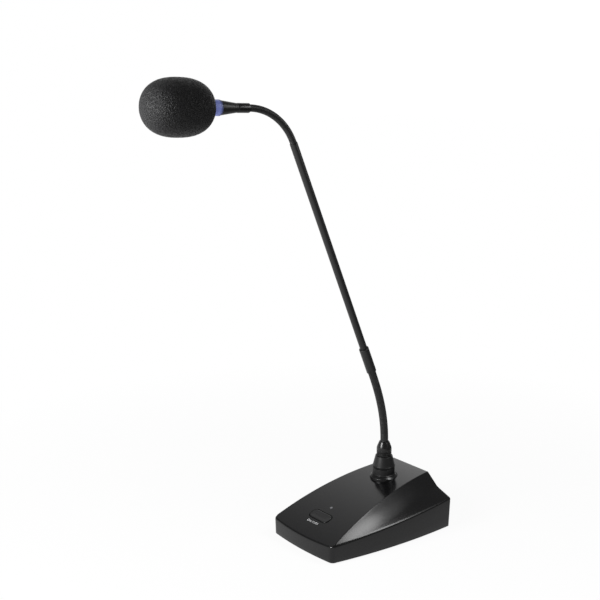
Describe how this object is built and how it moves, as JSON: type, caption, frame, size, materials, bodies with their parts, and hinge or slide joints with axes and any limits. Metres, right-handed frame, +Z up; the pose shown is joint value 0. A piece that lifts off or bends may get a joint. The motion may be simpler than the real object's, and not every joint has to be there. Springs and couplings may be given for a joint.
{
  "type": "gooseneck microphone",
  "caption": "Desk paging microphone: wedge base with a talk button, a plug-in neck with flexible stretches, a lit ring and a foam windscreen.",
  "frame": {"origin": "on the desk, under the middle of the base, on the pad's underside", "axes": "+Z up, front with the talk button towards -Y, rear outlet towards +Y, right side towards +X"},
  "size_m": [0.0992, 0.2676, 0.3869],
  "materials": {
    "cover_plastic": "smooth gloss moulding",
    "plate_steel": "black coat on sheet steel",
    "pad_rubber": "matt rubber",
    "ballast_iron": "raw casting",
    "screw_steel": "zinc plated",
    "board_laminate": "solder mask on laminate",
    "switch_plastic": "moulded",
    "button_plastic": "satin moulding",
    "clear_plastic": "clear moulding",
    "socket_plastic": "glass filled moulding",
    "contact_metal": "plated",
    "connector_metal": "satin black coat",
    "collet_brass": "turned",
    "wire_insulation": "stranded hook-up wire",
    "neck_black": "matt black wound metal",
    "stem_black": "satin black coat",
    "head_black": "satin black coat",
    "ring_diffuser": "translucent diffuser",
    "capsule_metal": "black anodised",
    "foam": "open cell foam"
  },
  "bodies": {
    "base": {"base_cover": "cover_plastic", "bottom_plate": "plate_steel", "base_pad": "pad_rubber", "ballast": "ballast_iron", "plate_screws": "screw_steel", "ballast_screws": "screw_steel", "circuit_board": "board_laminate", "board_screws": "screw_steel", "tact_switch": "switch_plastic", "indicator_led": "clear_plastic", "light_pipe": "clear_plastic", "socket_shell": "socket_plastic", "socket_insert": "socket_plastic", "socket_contacts": "contact_metal", "socket_screws": "screw_steel", "outlet_shell": "connector_metal", "outlet_insert": "socket_plastic", "outlet_pins": "contact_metal", "outlet_screws": "screw_steel", "mic_wires": "wire_insulation", "output_wires": "wire_insulation"},
    "talk_button": {"talk_button": "button_plastic", "switch_plunger": "switch_plastic"},
    "mic_plug": {"plug_shell": "connector_metal", "plug_insert": "socket_plastic", "plug_pins": "contact_metal", "plug_housing": "connector_metal", "plug_collar": "connector_metal", "plug_dome": "connector_metal", "neck_collet": "collet_brass", "lower_neck_root": "neck_black"},
    "lower_link_1": {"lower_link_1": "neck_black"},
    "lower_link_2": {"lower_link_2": "neck_black"},
    "lower_link_3": {"lower_link_3": "neck_black"},
    "lower_link_4": {"lower_link_4": "neck_black"},
    "lower_link_5": {"lower_link_5": "neck_black"},
    "lower_link_6": {"lower_link_6": "neck_black"},
    "lower_link_7": {"lower_link_7": "neck_black"},
    "stem": {"lower_neck_end": "neck_black", "joint_sleeve": "stem_black", "stem_tube": "stem_black", "upper_neck_root": "neck_black"},
    "upper_link_1": {"upper_link_1": "neck_black"},
    "upper_link_2": {"upper_link_2": "neck_black"},
    "upper_link_3": {"upper_link_3": "neck_black"},
    "upper_link_4": {"upper_link_4": "neck_black"},
    "upper_link_5": {"upper_link_5": "neck_black"},
    "upper_link_6": {"upper_link_6": "neck_black"},
    "upper_link_7": {"upper_link_7": "neck_black"},
    "head": {"upper_neck_end": "neck_black", "head_collar": "head_black", "head_housing": "head_black", "ring_board": "board_laminate", "light_ring": "ring_diffuser", "capsule_tube": "capsule_metal", "capsule": "capsule_metal", "capsule_gasket": "pad_rubber", "grille_cap": "capsule_metal"},
    "windscreen": {"windscreen": "foam"}
  },
  "joints": [
    {"name": "button_press", "type": "slide", "parent": "base", "child": "talk_button", "axis": [0, 0.3509, -0.9364], "range_m": [0, 0.001], "stiffness_N_per_m": 2000, "springref_m": -0.0005},
    {"name": "plug_lift", "type": "slide", "parent": "base", "child": "mic_plug", "axis": [0, 0, 1], "range_m": [0, 0.02]},
    {"name": "lower_bend_1", "type": "hinge", "parent": "mic_plug", "child": "lower_link_1", "pos_m": [0, 0.0296, 0.07743], "axis": [1, 0, 0], "range_deg": [-17.1, 12.9]},
    {"name": "lower_sway_2", "type": "hinge", "parent": "lower_link_1", "child": "lower_link_2", "pos_m": [0, 0.02897, 0.08602], "axis": [0, 0.9942, 0.108], "range_deg": [-15, 15]},
    {"name": "lower_bend_3", "type": "hinge", "parent": "lower_link_2", "child": "lower_link_3", "pos_m": [0, 0.02774, 0.09454], "axis": [1, 0, 0], "range_deg": [-17.1, 12.9]},
    {"name": "lower_sway_4", "type": "hinge", "parent": "lower_link_3", "child": "lower_link_4", "pos_m": [0, 0.02598, 0.10297], "axis": [0, 0.9727, 0.2322], "range_deg": [-15, 15]},
    {"name": "lower_bend_5", "type": "hinge", "parent": "lower_link_4", "child": "lower_link_5", "pos_m": [0, 0.02374, 0.11129], "axis": [1, 0, 0], "range_deg": [-17.1, 12.9]},
    {"name": "lower_sway_6", "type": "hinge", "parent": "lower_link_5", "child": "lower_link_6", "pos_m": [0, 0.02109, 0.11948], "axis": [0, 0.9446, 0.3283], "range_deg": [-15, 15]},
    {"name": "lower_bend_7", "type": "hinge", "parent": "lower_link_6", "child": "lower_link_7", "pos_m": [0, 0.01809, 0.12756], "axis": [1, 0, 0], "range_deg": [-17.1, 12.9]},
    {"name": "lower_sway_8", "type": "hinge", "parent": "lower_link_7", "child": "stem", "pos_m": [0, 0.01483, 0.13553], "axis": [0, 0.922, 0.3873], "range_deg": [-15, 15]},
    {"name": "upper_bend_1", "type": "hinge", "parent": "stem", "child": "upper_link_1", "pos_m": [0, -0.07271, 0.33877], "axis": [1, 0, 0], "range_deg": [-20.7, 6.8]},
    {"name": "upper_sway_2", "type": "hinge", "parent": "upper_link_1", "child": "upper_link_2", "pos_m": [0, -0.07616, 0.34436], "axis": [0, 0.8104, 0.5859], "range_deg": [-15, 15]},
    {"name": "upper_bend_3", "type": "hinge", "parent": "upper_link_2", "child": "upper_link_3", "pos_m": [0, -0.08039, 0.3494], "axis": [1, 0, 0], "range_deg": [-20.7, 6.8]},
    {"name": "upper_sway_4", "type": "hinge", "parent": "upper_link_3", "child": "upper_link_4", "pos_m": [0, -0.0853, 0.35377], "axis": [0, 0.6101, 0.7923], "range_deg": [-15, 15]},
    {"name": "upper_bend_5", "type": "hinge", "parent": "upper_link_4", "child": "upper_link_5", "pos_m": [0, -0.09078, 0.3574], "axis": [1, 0, 0], "range_deg": [-20.7, 6.8]},
    {"name": "upper_sway_6", "type": "hinge", "parent": "upper_link_5", "child": "upper_link_6", "pos_m": [0, -0.09672, 0.36023], "axis": [0, 0.3657, 0.9307], "range_deg": [-15, 15]},
    {"name": "upper_bend_7", "type": "hinge", "parent": "upper_link_6", "child": "upper_link_7", "pos_m": [0, -0.10299, 0.3622], "axis": [1, 0, 0], "range_deg": [-20.7, 6.8]},
    {"name": "upper_sway_8", "type": "hinge", "parent": "upper_link_7", "child": "head", "pos_m": [0, -0.10947, 0.36331], "axis": [0, 0.1065, 0.9943], "range_deg": [-15, 15]},
    {"name": "windscreen_pull", "type": "slide", "parent": "head", "child": "windscreen", "axis": [0, -0.999, 0.0436], "range_m": [0, 0.045]}
  ],
  "couplings": [
    {"joint": "lower_bend_3", "follows": "lower_bend_1", "ratio": 1},
    {"joint": "lower_sway_4", "follows": "lower_sway_2", "ratio": 1},
    {"joint": "lower_bend_5", "follows": "lower_bend_1", "ratio": 1},
    {"joint": "lower_sway_6", "follows": "lower_sway_2", "ratio": 1},
    {"joint": "lower_bend_7", "follows": "lower_bend_1", "ratio": 1},
    {"joint": "lower_sway_8", "follows": "lower_sway_2", "ratio": 1},
    {"joint": "upper_bend_3", "follows": "upper_bend_1", "ratio": 1},
    {"joint": "upper_sway_4", "follows": "upper_sway_2", "ratio": 1},
    {"joint": "upper_bend_5", "follows": "upper_bend_1", "ratio": 1},
    {"joint": "upper_sway_6", "follows": "upper_sway_2", "ratio": 1},
    {"joint": "upper_bend_7", "follows": "upper_bend_1", "ratio": 1},
    {"joint": "upper_sway_8", "follows": "upper_sway_2", "ratio": 1}
  ]
}
